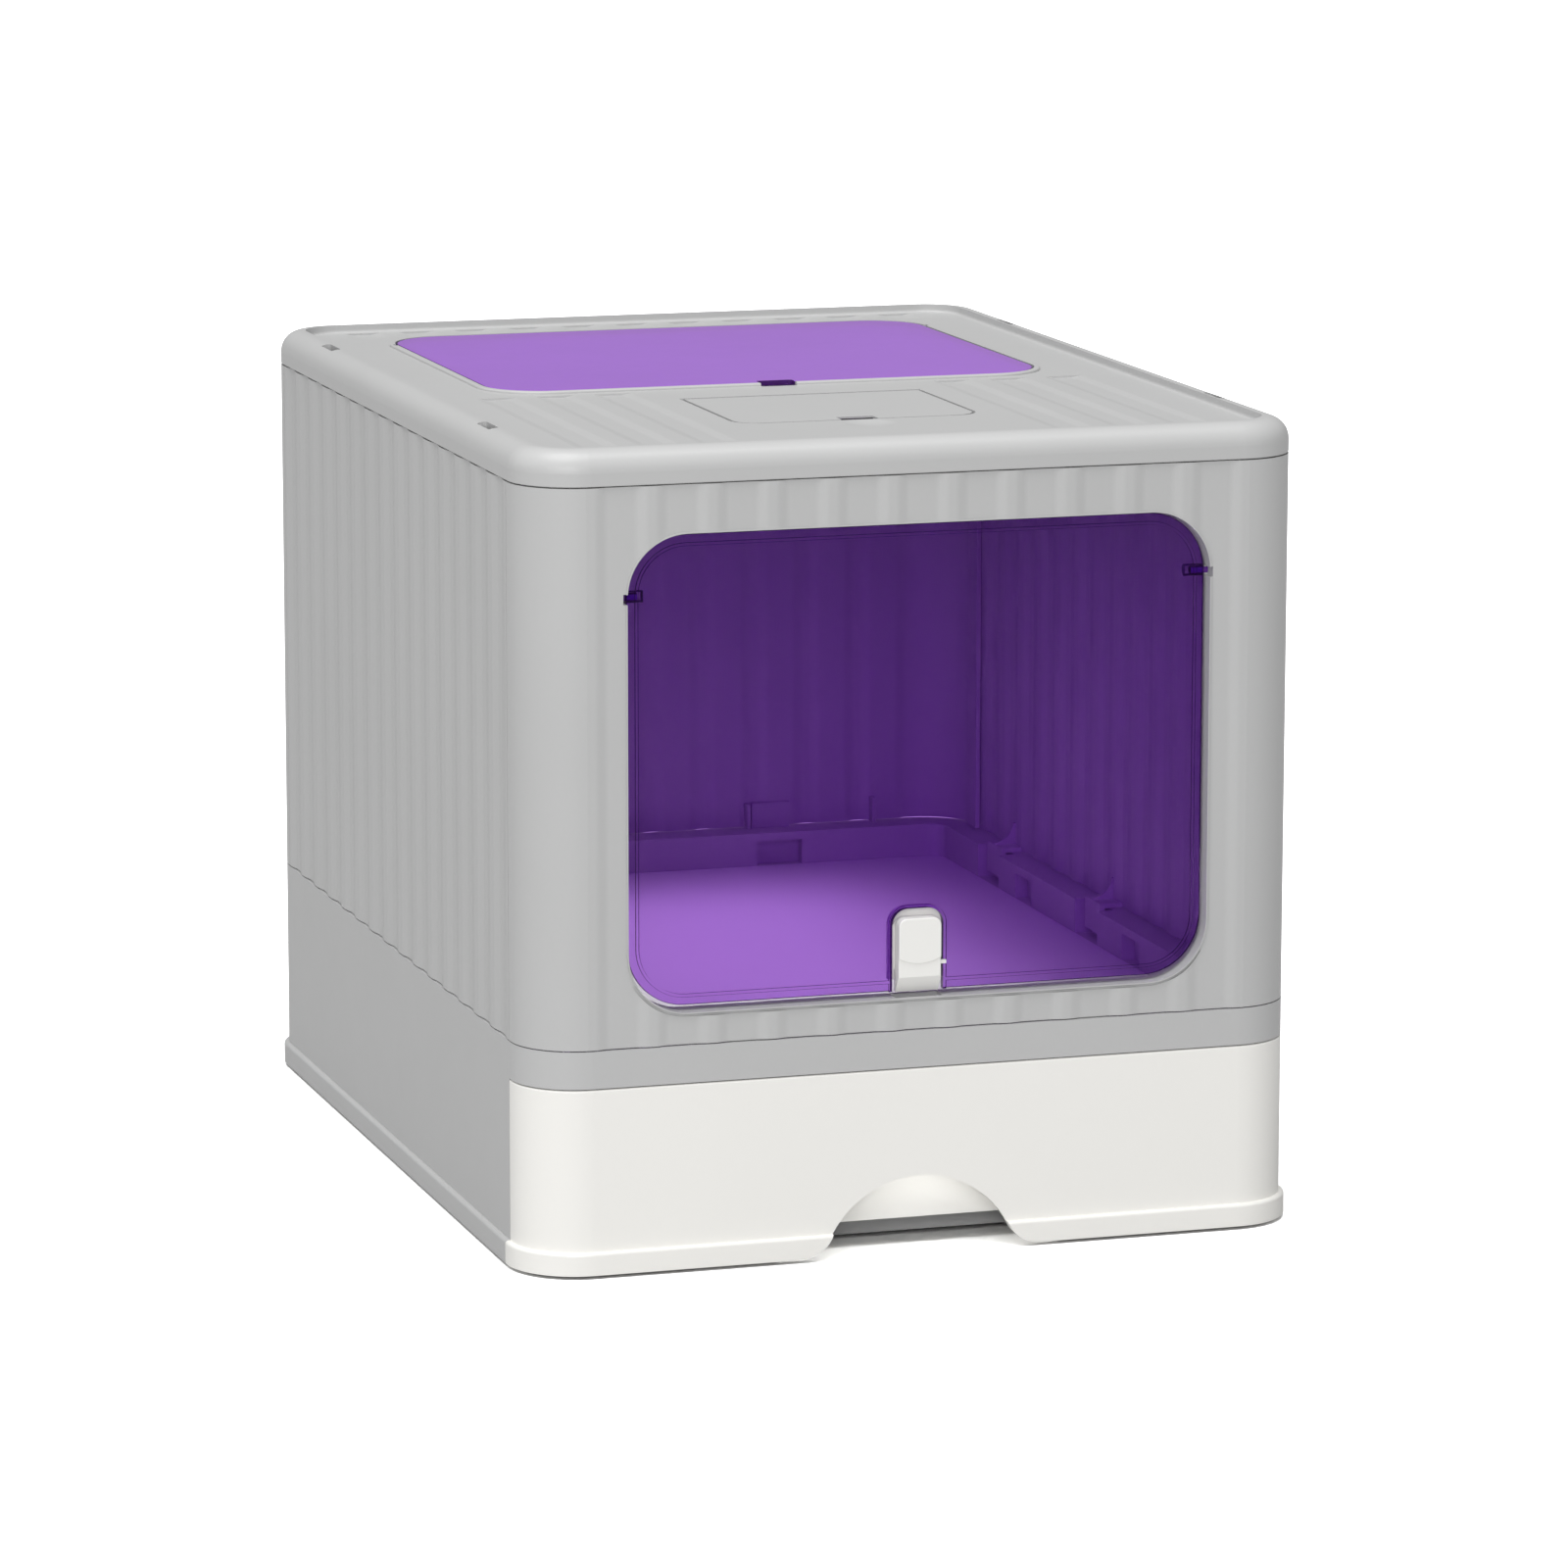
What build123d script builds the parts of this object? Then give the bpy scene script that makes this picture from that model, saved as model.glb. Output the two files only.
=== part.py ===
from build123d import *
import os

# Drawer litter box: open-fronted base housing with a pull-out drawer, four clipped-on wall
# panels, a see-through swing door with a sliding latch, and a lid with a see-through hatch.
# Frame: +X to the right seen from the front, the front faces -Y, +Z up, origin at the
# bottom centre of the object's box. Millimetres.

# ---- overall ----
body_width = 394.0          # between the side wall faces
body_depth = 520.0          # between the front and back wall faces
total_height = 401.0        # floor to the lid's rim
corner_radius = 32.0        # plan radius of the body's corners
ground_gap = 1.8            # height of the anti-slip feet under the housing
seam = 0.6                  # open joint between neighbouring mouldings
seat_gap = 0.2              # between a moulding and the face it rests on
fit_gap = 0.3               # beside a piece that slides or swings
pin_gap = 0.05              # round a pivot pin in its bearing
press_gap = 0.02            # round a pin in the piece that holds it
bite = 0.5                  # how far solids of one moulding run into each other
past = 1.0                  # how far a cut runs past a face
through = 20.0              # how far an opening's cut runs past a moulding
root = 1.4                  # how far ribs and rails are let into a wall

# ---- mouldings ----
wall = 2.4                  # housing, panel and fascia skins
tray_wall = 2.6
sheet = 2.6                 # see-through flaps
soft_edge = 1.0             # small roundings of edges that are touched
seam_edge = 0.5             # roundings along the open joints

# ---- base housing ----
base_height = 111.4         # top of the rim, where the wall panels stand
drawer_height = 92.5        # top of the drawer front
corner_run = 34.6           # how far a corner piece reaches round to the side
flange_out = 2.6
flange_height = 11.2
flange_round = 1.6
rim_side = 18.5             # width of the rim at the sides
rim_end = 22.0              # width of the rim at the front and back
rim_corner = 8.0
rim_shelf = 4.0             # ledge under the litter deck
deck_thickness = 2.4
deck_drop = 18.0            # deck surface below the rim
pocket_depth = 9.5
pocket_width = 34.0
pocket_places = (158.0, 0.0, -158.0)    # Y of the pockets for the side panels' feet
window_width = 26.0
window_depth = 7.0
window_drop = 4.4           # top edge of a window below the rim
side_windows = (100.0, -68.0)           # Y
end_windows = (-84.0, 84.0)             # X
floor_front = 40.0          # set-back of the housing floor behind the front face
floor_bar = 6.6             # height of the bar along the floor's front edge
runner_reach = 6.6          # side runner, from the housing wall inwards
runner_height = 2.4

# ---- drawer ----
tray_setback = 39.0         # tray's front wall behind the front face
tray_side_gap = 7.6         # tray wall to housing wall
tray_back_gap = 5.0
tray_top_gap = 0.6          # tray rim under the deck's shelf
tray_corner = 22.0
tray_inner_round = 9.0
tray_rim_out = 3.2
tray_rim = 2.4
pull_radius = 51.0          # arch of the finger pull
pull_height = 39.2
pull_foot = 17.0            # rounding where the arch meets the bottom edge
pull_pocket_depth = 17.6
pull_pocket_width = 144.0
pull_pocket_height = 62.0
pull_pocket_floor = 11.6    # lower edge of the pocket's back wall above the ground
fascia_lip = 8.0            # stiffening edge along the fascia's top
boss_radius = 5.0
boss_places = ((-120.0, 28.0), (120.0, 28.0), (-120.0, 70.0), (120.0, 70.0))
screw_radius = 1.75
screw_head_radius = 4.0
screw_head_height = 2.6
screw_length = 16.0
screw_slot = 1.0

# ---- litter deck ----
slot_width = 3.0
slot_pitch = 12.0
slot_length = 60.0
slot_columns = 5
slot_rib = 8.0              # web between two columns of slots
slot_margin = 20.0          # middle of the first row behind the rim
sieve_depth = 134.0         # field of slots behind the entrance, the rest is plain

# ---- wall panels ----
lid_side = 17.4             # height of the lid's side
rib_pitch = 30.0
end_rib = (10.0, 5.0, 9.0)  # front and back panel: width, flank and rounding of a rib
side_rib = (15.0, 8.0, 12.0)
rib_depth = 1.2
lap = 10.0                  # cover strip behind each side panel's edge
foot_width = 24.0
foot_drop = 14.0
peg_width = 22.0
peg_in = 2.0                # peg's face behind the wall's inner face
peg_root = 0.7
gusset_places = (-143.0, -70.0, 70.0, 143.0)
gusset_height = 14.0
gusset_depth = 6.0
gusset_thickness = 1.8

# ---- door opening and door ----
opening_width = 294.0
sill_rise = 16.1            # sill above the housing's rim
opening_head = 24.1         # top of the opening below the lid's edge
opening_radius = 30.0
opening_return = 14.0       # depth of the edge that frames the opening
opening_lip = 0.6           # rim round the opening, level with the ribs
drip_line = 1.4             # groove under the rim
drip_depth = 1.8
drip_reach = 14.0           # how far the groove runs up the corners
door_side_gap = 1.0
door_sill_gap = 2.5
door_setback = 6.0          # door face behind the front face
door_pivot_drop = 29.5      # pivot axis below the door's top edge
bead_inset = 4.0            # raised line round the door, from its edge
bead_width = 1.6
bead_height = 1.0
bead_edge = 0.4
pin_radius = 2.0
pin_hold = 6.0              # length of the pin in the door
pin_reach = 7.0             # length of the pin in the frame
hub_radius = 3.0
hub_sink = 1.6              # how far a hub is let into its flap
notch_deep = 1.8            # dent in the frame where the pivot shows
notch_long = 5.0

# ---- latch ----
latch_width = 21.6
latch_top = 39.0            # slider's top edge above the sill
latch_proud = 4.6           # slider's face in front of the door
latch_pad = 20.0            # height of the thumb pad
latch_pad_out = 0.6
latch_notch_width = 26.0
latch_notch_round = 8.0
latch_up = 3.5
latch_down = 6.0
latch_notch_head = 0.7      # room over the slider at the top of its travel
latch_smile = 2.6           # how far the thumb pad's lower edge is curved
latch_smile_radius = 22.0
latch_round = 4.0
latch_edge = 0.6
latch_foot = 0.5            # slider's end below the door's edge
latch_slot_front = 3.5      # slot's front wall in front of the door's face
tip_setback = 5.0           # tip's lower edge behind the slider's face
tip_height = 8.0
latch_nib = 3.1             # nib in front of the door's collar, at the slider's right
nib_height = 1.8
nib_thickness = 1.6
neck_low = 11.0             # wide part's lower edge above the slider's end
neck_setback = 1.6          # wide part's face behind the door's face
neck_round = 7.0
clip_low = 5.5              # clip's lower edge above the door's edge
clip_width = 28.0
clip_thickness = 2.4
clip_height = 36.0
clip_round = 9.0

# ---- lid ----
lid_edge_round = 11.0
lid_wall = 2.6
lid_border = 13.0           # flat border round the ribbed field
field_drop = 4.0            # field below the border
field_corner = 20.0
tongue_depth = 6.0          # locating tongue below the lid's edge
tongue_thickness = 2.0
slot_long = 23.0            # openings over the lid's catches
slot_short = 5.0
slot_round = 1.5
lid_groove = 15.0           # width of the grooves between the lid's ribs
groove_depth = 0.9
groove_flank = 5.0
groove_round = 9.0
groove_margin_x = 3.0
groove_margin_y = 6.0
groove_clear = 10.0         # end of the grooves beside the hatch
recess_round = 1.5
lug_width = 16.0            # bearing lugs of the hatch, along Y
catch_places = (-158.0, 158.0)          # Y
catch_inset = 9.5           # slot centre from the side face
catch_drop = 12.0           # hook's end below the lid's edge
catch_thickness = 2.0
catch_rail = 2.4            # thickness of the rail that a hook grips
hatch_front = -26.0         # Y of the hatch opening's front edge
hatch_depth = 234.0
hatch_collar = 3.0
hatch_collar_height = 1.4
hatch_rise = 1.4            # hatch surface above the field, level with the collar
hatch_ledge = 4.0
hatch_notch = 6.5           # finger notch in the hatch's front edge
finger_width = 19.0
finger_depth = 5.2
cover_width = 123.0
cover_depth = 96.0
cover_back = -65.6          # Y of the cover's back edge
cover_gap = 1.8
cover_round = 12.0
cover_step = 1.6            # ledge that carries the cover
cover_back_round = 1.6
cover_thickness = 2.4
cover_pin_radius = 1.5
cover_pin_hold = 8.0
cover_pin_reach = 5.0
cover_lug = 8.0             # bearing lugs of the cover, along Y
cover_hub_wall = 1.1
cover_hub_sink = 1.7
slot_reach = 9.0            # finger slot, from the cover's front edge inwards
slot_lip = 0.9              # cover's thickness behind the finger slot
slot_undercut = 7.0
dent_radius = 60.0
dent_depth = 1.4
dent_offset = 14.0
basket_depth = 12.0
basket_wall = 1.6
basket_lip = 1.6
basket_seat = 3.4           # ledge under the basket's lip
basket_hole = 4.0
basket_pitch = 12.0
pad_thickness = 8.0
pad_gap = 1.0

# ---- feet ----
foot_pad_radius = 12.0
foot_pad_inset = 34.0
foot_pad_sunk = 1.2

# ---- derived places ----
half_w = body_width / 2
half_d = body_depth / 2
rim_x = half_w - rim_side
rim_y = half_d - rim_end
deck_top = base_height - deck_drop
deck_bottom = deck_top - deck_thickness
shelf_top = deck_bottom - seat_gap
shelf_bottom = shelf_top - wall
lintel_bottom = drawer_height + seam
corner_y = half_d - corner_run              # end of the corner pieces along the side
panel_bottom = base_height + seam
lid_bottom = total_height - lid_side
panel_top = lid_bottom - seam
rib_floor = rib_depth + wall                # wall face to the panel's inner face, at a groove
floor_top = ground_gap + wall
tray_top = shelf_bottom - tray_top_gap
tray_bottom = ground_gap + floor_bar + fit_gap
tray_x = half_w - wall - tray_side_gap
tray_front = -half_d + tray_setback
tray_back = half_d - wall - tray_back_gap
opening_sill = base_height + sill_rise
opening_top = lid_bottom - opening_head
door_top = opening_top - door_side_gap
door_bottom = opening_sill + door_sill_gap
door_front = -half_d + door_setback
door_back = door_front + sheet
door_x = opening_width / 2 - door_side_gap
pivot_z = door_top - door_pivot_drop
pivot_y = door_back + hub_radius - hub_sink
field_top = total_height - field_drop
field_bottom = field_top - lid_wall
hatch_back = hatch_front + hatch_depth
hatch_top = field_top + hatch_rise
hatch_bottom = hatch_top - sheet
hatch_pivot_y = hatch_back - door_side_gap - door_pivot_drop
hatch_pivot_z = hatch_bottom - hub_radius + hub_sink
cover_x = cover_width / 2 + cover_gap               # opening round the cover
cover_front = cover_back - cover_depth
cover_hub = cover_pin_radius + cover_hub_wall
cover_pivot_y = cover_back - cover_hub - cover_back_round
cover_pivot_z = field_top - cover_thickness - cover_hub + cover_hub_sink
cover_ledge = field_top - cover_thickness - seat_gap
lip_ledge = cover_ledge - basket_lip - 2 * seat_gap
hub_room = cover_pivot_y - cover_hub - 1.0          # front edge of the gap in which the hubs turn
lip_front = cover_front - cover_gap + cover_step
hole_front = lip_front + basket_seat
hole_back = hub_room - wall


def block(x0, x1, y0, y1, z0, z1):
    """Upright block between two corners."""
    middle = Pos((x0 + x1) / 2, (y0 + y1) / 2, (z0 + z1) / 2)
    return middle * Box(x1 - x0, y1 - y0, z1 - z0)


def slab(x0, x1, y0, y1, radius, z0, z1):
    """Upright block whose plan has rounded corners."""
    outline = RectangleRounded(x1 - x0, y1 - y0, radius)
    return extrude(Pos((x0 + x1) / 2, (y0 + y1) / 2, z0) * outline, z1 - z0)


def body_slab(inset, z0, z1, radius=None):
    """Slab that follows the body's plan, moved in by an inset."""
    x, y = half_w - inset, half_d - inset
    return slab(-x, x, -y, y, corner_radius - inset if radius is None else radius, z0, z1)


def frame(inset, thickness, z0, z1):
    """Ring that follows the body's plan."""
    return body_slab(inset, z0, z1) - body_slab(inset + thickness, z0, z1)


def rim_slab(grow, z0, z1):
    """Slab that follows the rim's inner edge, grown outwards."""
    x, y = rim_x + grow, rim_y + grow
    return slab(-x, x, -y, y, max(rim_corner + grow, 1.0), z0, z1)


def upright_plate(x0, x1, z0, z1, radius, y0, y1):
    """Plate that stands parallel to the front, with rounded corners."""
    outline = RectangleRounded(x1 - x0, z1 - z0, radius)
    face = Plane.XZ.offset(-y1) * Pos((x0 + x1) / 2, (z0 + z1) / 2) * outline
    return extrude(face, y1 - y0)


def rod_x(radius, x0, x1, y, z):
    """Round rod along X."""
    return Pos((x0 + x1) / 2, y, z) * Rot(0, 90, 0) * Cylinder(radius, abs(x1 - x0))


def rod_y(radius, y0, y1, x, z):
    """Round rod along Y."""
    return Pos(x, (y0 + y1) / 2, z) * Rot(90, 0, 0) * Cylinder(radius, abs(y1 - y0))


def rod_z(radius, z0, z1, x, y):
    """Round rod along Z."""
    return Pos(x, y, (z0 + z1) / 2) * Cylinder(radius, z1 - z0)


def mirrored_x(piece):
    """The piece and its mirror image about the middle plane."""
    return piece + mirror(piece, Plane.YZ)


# ---- base housing ----
def rim_cup(width, depth, top):
    """Pocket box behind the rim's inner edge at the right, centred on Y = 0, and its hollow."""
    box = block(rim_x, rim_x + depth + wall, -width / 2 - wall, width / 2 + wall, shelf_bottom, top + wall)
    hollow = block(rim_x - rim_shelf, rim_x + depth, -width / 2, width / 2, deck_top - seat_gap, top)
    return box, hollow


def rim_openings():
    """Pocket boxes and hollows round the rim."""
    boxes, hollows = [], []
    pocket_top = base_height + wall
    for y in pocket_places:
        box, hollow = rim_cup(pocket_width, pocket_depth, pocket_top)
        box = box & block(0, half_w, -half_d, half_d, 0, base_height)
        for turn in (0, 180):
            boxes.append(Rot(0, 0, turn) * Pos(0, y if turn == 0 else -y, 0) * box)
            hollows.append(Rot(0, 0, turn) * Pos(0, y if turn == 0 else -y, 0) * hollow)
    window_top = base_height - window_drop
    for y in side_windows:
        box, hollow = rim_cup(window_width, window_depth, window_top)
        for turn in (0, 180):
            boxes.append(Rot(0, 0, turn) * Pos(0, y if turn == 0 else -y, 0) * box)
            hollows.append(Rot(0, 0, turn) * Pos(0, y if turn == 0 else -y, 0) * hollow)
    for x in end_windows:
        box, hollow = rim_cup(window_width, window_depth, window_top)
        for turn in (90, -90):
            place = Pos(x, rim_y - rim_x if turn == 90 else rim_x - rim_y, 0) * Rot(0, 0, turn)
            boxes.append(place * box)
            hollows.append(place * hollow)
    return boxes, hollows


def flange():
    """Outward foot of the housing and the drawer front."""
    plate = body_slab(-flange_out, ground_gap, ground_gap + flange_height)
    top = plate.edges().group_by(Axis.Z)[-1]
    return fillet(top, flange_round)


def outer_skirt(z1):
    """Body wall and flange from the ground gap up to a height, as one ring."""
    skin = body_slab(0, ground_gap, z1)
    skin = fillet(skin.edges().group_by(Axis.Z)[-1], seam_edge) + flange()
    return skin - body_slab(wall, ground_gap - past, z1 + past)


def base_housing():
    far = half_d + 2 * flange_out
    front_hole = block(-far, far, -far, -corner_y + seam, 0, lintel_bottom)
    housing = outer_skirt(base_height) - front_hole
    top_plate = body_slab(0, base_height - wall, base_height) - rim_slab(0, base_height - wall, base_height)
    inner_wall = rim_slab(wall, shelf_bottom, base_height) - rim_slab(0, shelf_bottom, base_height)
    shelf = rim_slab(wall, shelf_bottom, shelf_top) - rim_slab(-rim_shelf, shelf_bottom, shelf_top)
    housing = housing + top_plate + inner_wall + shelf
    boxes, hollows = rim_openings()
    housing = housing + boxes
    housing = housing - hollows
    floor_y = -half_d + floor_front
    floor = body_slab(wall / 2, ground_gap, floor_top) & block(-far, far, floor_y, far, 0, base_height)
    bar_x = half_w - wall / 2
    bar = block(-bar_x, bar_x, floor_y, floor_y + wall, ground_gap, ground_gap + floor_bar)
    housing = housing + floor + bar
    runner_top = tray_top - tray_rim - fit_gap
    runner_x = half_w - wall
    runner = block(runner_x - runner_reach, runner_x + wall / 2, -corner_y + seam, tray_back - tray_corner,
                   runner_top - runner_height, runner_top)
    housing = housing + mirrored_x(runner)
    peg_x = peg_width / 2 + fit_gap
    peg_hole = block(-peg_x, peg_x, half_d - rib_floor - peg_in - fit_gap, half_d - wall - seat_gap,
                     base_height - 2 * wall, base_height + wall)
    for x in end_windows:
        housing = housing - Pos(x, 0, 0) * peg_hole
        housing = housing - Rot(0, 0, 180) * Pos(x, 0, 0) * peg_hole
    for pad in foot_pads(fit_gap / 2):
        housing = housing - pad
    return housing


def foot_pads(clearance=0.0):
    """Four round pads under the housing floor."""
    x = half_w - foot_pad_inset
    y_back = half_d - foot_pad_inset
    y_front = half_d - floor_front - foot_pad_inset
    top = ground_gap + foot_pad_sunk + (fit_gap if clearance else 0.0)
    places = ((x, y_back), (-x, y_back), (x, -y_front), (-x, -y_front))
    return [rod_z(foot_pad_radius + clearance, 0, top, px, py) for px, py in places]


# ---- litter deck ----
def litter_deck():
    """Lift-out floor with a field of sieve slots behind the entrance."""
    deck = rim_slab(-fit_gap, deck_bottom, deck_top)
    pitch_x = slot_length + slot_rib
    rows = int(sieve_depth // slot_pitch)
    slot = extrude(SlotOverall(slot_length, slot_width), deck_thickness * 3)
    slots = []
    for column in range(slot_columns):
        for row in range(rows):
            x = (column - (slot_columns - 1) / 2) * pitch_x
            y = -rim_y + slot_margin + row * slot_pitch
            slots.append(Pos(x, y, deck_bottom - deck_thickness) * slot)
    return deck - slots


# ---- drawer ----
def tray_outline(grow, z0, z1, radius):
    return slab(-tray_x - grow, tray_x + grow, tray_front - grow, tray_back + grow, radius, z0, z1)


def drawer_tray():
    shell = tray_outline(0, tray_bottom, tray_top, tray_corner)
    shell = fillet(shell.edges().group_by(Axis.Z)[0], tray_inner_round)
    hollow = tray_outline(-tray_wall, tray_bottom + tray_wall, tray_top + past, tray_corner - tray_wall)
    hollow = fillet(hollow.edges().group_by(Axis.Z)[0], tray_inner_round - tray_wall)
    rim = tray_outline(tray_rim_out, tray_top - tray_rim, tray_top, tray_corner + tray_rim_out)
    front_y = tray_front - tray_setback + wall + fascia_lip
    cover = block(-tray_x + tray_corner, tray_x - tray_corner, front_y, tray_front + tray_wall / 2,
                  tray_top - tray_rim, tray_top)
    tray = shell + rim + cover - hollow
    for x, z in boss_places:
        tray = tray - rod_y(screw_radius + pin_gap, tray_front - past, tray_front + tray_wall + past, x, z)
    return tray


def pull_outline():
    """Arch of the finger pull with rounded feet, on the XZ plane."""
    centre = pull_height - pull_radius
    arch = Pos(0, centre) * Circle(pull_radius)
    below = Pos(0, ground_gap - pull_radius) * Rectangle(4 * pull_radius, 2 * pull_radius)
    outline = arch + below
    low = outline.vertices().filter_by(lambda v: abs(v.Y - ground_gap) < seat_gap)
    return fillet(low.filter_by(lambda v: abs(v.X) < pull_radius), pull_foot)


def drawer_front():
    far = 2 * half_d
    front_only = block(-far, far, -far, -corner_y, 0, drawer_height)
    skin = body_slab(0, ground_gap, drawer_height)
    skin = fillet(skin.edges().group_by(Axis.Z)[-1], soft_edge)
    skin = skin + flange() - body_slab(wall, 0, drawer_height - wall)
    skin = skin & front_only
    lip_y = -half_d + wall + fascia_lip
    inside = body_slab(wall, drawer_height - 2 * wall, drawer_height + past)
    skin = skin - (inside & block(-far, far, lip_y, far, 0, far))
    pocket_x = pull_pocket_width / 2
    pocket_back = -half_d + wall + pull_pocket_depth
    pocket_y = -half_d + wall / 2
    pocket = block(-pocket_x, pocket_x, pocket_y, pocket_back + wall, ground_gap, pull_pocket_height)
    room = block(-pocket_x + wall, pocket_x - wall, pocket_y - wall, pocket_back,
                 0, pull_pocket_height - wall)
    under = block(-pocket_x - past, pocket_x + past, pocket_back - past, half_d,
                  0, pull_pocket_floor + ground_gap)
    front = skin + (pocket - room - under)
    cut = extrude(Plane.XZ.offset(half_d - 2 * wall) * pull_outline(), 2 * wall + 2 * flange_out)
    front = front - cut
    boss_end = tray_front - seat_gap
    for x, z in boss_places:
        boss = rod_y(boss_radius, -half_d + wall / 2, boss_end, x, z)
        bore = rod_y(screw_radius + press_gap, boss_end - screw_length, boss_end + past, x, z)
        front = front + boss - bore
    return front


def drawer_front_screws():
    """Pan-head screws with a cross slot, driven from inside the tray."""
    screws = []
    half = screw_slot / 2
    for x, z in boss_places:
        seat = tray_front + tray_wall
        shank = rod_y(screw_radius, seat - screw_length + tray_wall, seat + screw_head_height / 2, x, z)
        head = rod_y(screw_head_radius, seat, seat + screw_head_height, x, z)
        head = fillet(head.edges().group_by(Axis.Y)[-1], screw_head_height / 3)
        cross = [block(x - reach_x, x + reach_x, seat + screw_head_height / 2, seat + 2 * screw_head_height,
                       z - reach_z, z + reach_z)
                 for reach_x, reach_z in ((screw_radius, half), (half, screw_radius))]
        screws.append(shank + head - cross)
    return screws


# ---- wall panels ----
def ribbed_wall(length, rib, z0, z1, margin=0.0):
    """Corrugated wall along X, its outer face on Y = 0 looking to -Y, centred on X = 0."""
    width, flank, rounding = rib
    count = round(length / rib_pitch) - 1
    crest = (width - flank) / 2
    foot = (width + flank) / 2
    end = (count + 1) / 2 * rib_pitch       # middle of the half ribs at both ends
    sides = []
    for low, high in ((rib_depth, 0), (rib_floor, wall)):
        points = [(-length / 2 - margin, high), (crest - end, high), (foot - end, low)]
        for i in range(count):
            middle = (i - (count - 1) / 2) * rib_pitch
            points += [(middle - foot, low), (middle - crest, high)]
            points += [(middle + crest, high), (middle + foot, low)]
        points += [(end - foot, low), (end - crest, high), (length / 2 + margin, high)]
        sides.append(points)
    outer, inner = sides
    section = make_face(Polyline(*outer, *reversed(inner), close=True))
    corners = section.vertices().filter_by(lambda v: abs(v.X) < length / 2 - past)
    return extrude(Pos(0, 0, z0) * fillet(corners, rounding), z1 - z0)


def side_panel():
    """Right-hand panel, built along X and turned to its place."""
    length = 2 * corner_y - 2 * seam
    panel = ribbed_wall(length, side_rib, panel_bottom, panel_top)
    inner = rib_floor + 2 * seat_gap - root         # ribs and rails start inside the wall
    flange_in = rim_side - pocket_depth / 2 + wall / 2
    for y in pocket_places:
        plate = block(-foot_width / 2, foot_width / 2, inner, flange_in, base_height + seat_gap,
                      base_height + seat_gap + wall)
        leg = block(-foot_width / 2, foot_width / 2, flange_in - wall, flange_in,
                    base_height - foot_drop, base_height + seat_gap + wall)
        web = block(-gusset_thickness / 2, gusset_thickness / 2, inner, flange_in,
                    base_height + seat_gap, base_height + gusset_height)
        slope = Pos(0, flange_in + past, base_height + gusset_height + past) * Rot(0, 90, 0)
        bevel = slope * Cylinder(gusset_height - wall, foot_width)
        panel = panel + Pos(-y, 0, 0) * (plate + leg + (web - bevel))
    rail_in = catch_inset + slot_short / 2 - fit_gap
    rail_top = lid_bottom - tongue_depth - 2 * seam
    for y in catch_places:
        rail = block(-slot_long / 2, slot_long / 2, inner, rail_in, rail_top - catch_rail, rail_top)
        panel = panel + Pos(-y, 0, 0) * rail
    return Pos(half_w, 0, 0) * Rot(0, 0, 90) * panel


def end_wall(z0, z1):
    """Front wall with both rounded corners, as it stands at the front."""
    far = 2 * half_d
    flat = half_w - corner_radius
    corners = frame(0, wall, z0, z1) & block(-far, far, -far, -corner_y, z0 - past, z1 + past)
    corners = corners - block(-flat, flat, -far, 0, z0 - past, z1 + past)
    ribs = Pos(0, -half_d, 0) * ribbed_wall(2 * flat, end_rib, z0, z1, 2 * past)
    step = half_w - rib_floor - fit_gap
    top = z1 - tongue_depth - 2 * seam
    post = block(step - wall, half_w - wall / 2, -corner_y - 2 * wall, -corner_y, z0, top)
    strip = block(step - wall, step, -corner_y - wall, -corner_y + lap, z0, top)
    return corners + ribs + mirrored_x(post + strip)


def wall_pegs():
    """Pegs of an end wall that drop through the rim."""
    y = -half_d + rib_floor
    pegs = []
    for x in end_windows:
        pegs.append(block(x - peg_width / 2, x + peg_width / 2, y - peg_root, y + peg_in - seat_gap,
                          base_height - foot_drop / 2, base_height + foot_drop))
    return pegs


def gussets():
    """Small upright ribs behind an end wall's foot, standing on the rim."""
    y = -half_d + rib_floor
    found = []
    for x in gusset_places:
        found.append(block(x - gusset_thickness / 2, x + gusset_thickness / 2, y - root, y + gusset_depth,
                           base_height + seat_gap, base_height + gusset_height))
    return found


def front_panel():
    panel = end_wall(panel_bottom, panel_top) + wall_pegs()
    half = opening_width / 2
    y0, y1 = -half_d, -half_d + opening_return
    hole = upright_plate(-half, half, opening_sill, opening_top, opening_radius, y0 - past, y1 + past)
    edge = upright_plate(-half - wall, half + wall, opening_sill - wall, opening_top + wall,
                         opening_radius + wall, y0 + rib_depth, y1)
    lip = upright_plate(-half - opening_lip, half + opening_lip, opening_sill - opening_lip,
                        opening_top + opening_lip, opening_radius + opening_lip, y0, y0 + wall)
    panel = panel + edge + lip
    boss = block(half + wall / 2, half + wall + pin_reach, y0 + wall, y1,
                 pivot_z - 2 * hub_radius, pivot_z + 2 * hub_radius)
    panel = panel + mirrored_x(boss) - hole
    end = half + pin_reach + fit_gap
    panel = panel - rod_x(pin_radius + pin_gap, -end, end, pivot_y, pivot_z)
    panel = panel - block(-half - notch_deep, half + notch_deep, y0 - past, door_back,
                          pivot_z - notch_long / 2, pivot_z + notch_long / 2)
    drip = opening_lip + drip_line
    groove = upright_plate(-half - drip, half + drip, opening_sill - drip, opening_top + drip,
                           opening_radius + drip, y0 - past, y0 + drip_depth)
    island = upright_plate(-half - opening_lip, half + opening_lip, opening_sill - opening_lip,
                           opening_top + opening_lip, opening_radius + opening_lip, y0 - 2 * past, y1)
    groove = (groove - island) & block(-half_w, half_w, y0 - past, y1, 0, opening_sill + drip_reach)
    reach = latch_width / 2 + 4 * fit_gap
    latch_slot = block(-reach, reach, door_front - latch_slot_front, door_back + clip_thickness + past,
                       door_bottom - latch_foot - latch_down - wall, opening_sill + past)
    return panel - groove - latch_slot


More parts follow.
